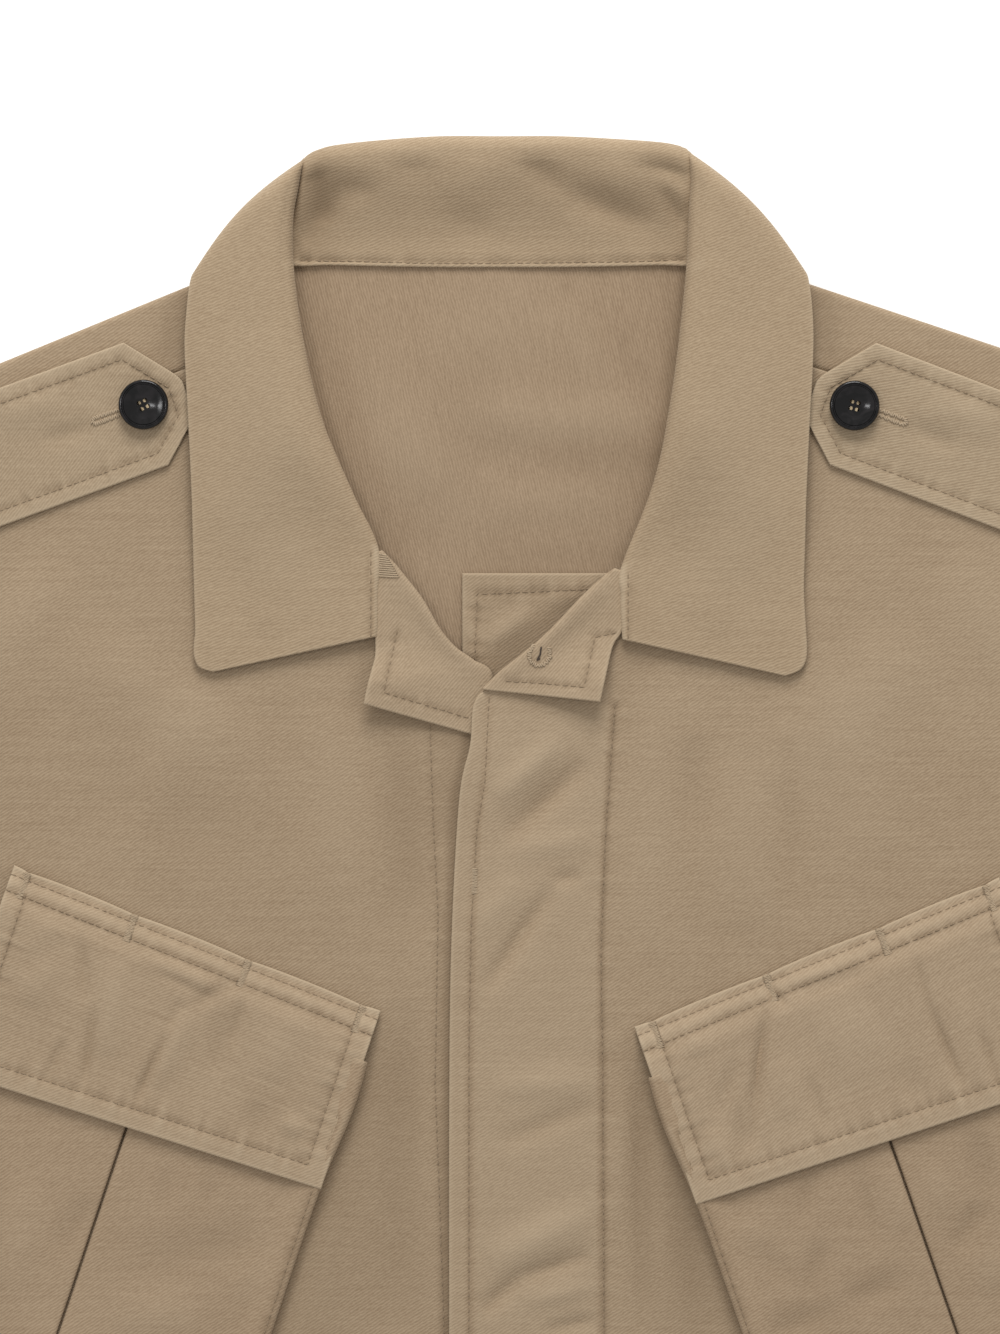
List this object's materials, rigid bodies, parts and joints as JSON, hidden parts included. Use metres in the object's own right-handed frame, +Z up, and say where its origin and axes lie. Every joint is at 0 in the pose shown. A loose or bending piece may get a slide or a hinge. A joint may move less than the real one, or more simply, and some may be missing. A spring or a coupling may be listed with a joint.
{
  "type": "shirt jacket",
  "caption": "Tan cotton field-style shirt jacket laid flat, with shoulder straps, a concealed fly, an open collar and slanted bellows chest pockets with flaps.",
  "frame": {"origin": "on the surface the jacket lies on, under the middle of its bounding box", "axes": "+X toward the wearer's left sleeve (right in the picture), +Y from the hem to the collar, +Z up away from the surface"},
  "size_m": [1.184, 0.7789, 0.0111],
  "materials": {
    "cotton_sateen": "tan garment-washed cotton with a fine diagonal weave, matt with a faint sheen",
    "button": "near-black four-hole button, softly polished"
  },
  "bodies": {
    "root": {"back": "cotton_sateen", "collar": "cotton_sateen", "fly_underlay": "cotton_sateen", "front_right": "cotton_sateen", "facing_right": "cotton_sateen", "sleeve_right": "cotton_sateen", "shoulder_strap_right": "cotton_sateen", "pocket_right": "cotton_sateen", "pocket_flap_right": "cotton_sateen", "front_left": "cotton_sateen", "facing_left": "cotton_sateen", "sleeve_left": "cotton_sateen", "shoulder_strap_left": "cotton_sateen", "pocket_left": "cotton_sateen", "pocket_flap_left": "cotton_sateen", "button_right": "button", "button_left": "button"}
  },
  "joints": []
}
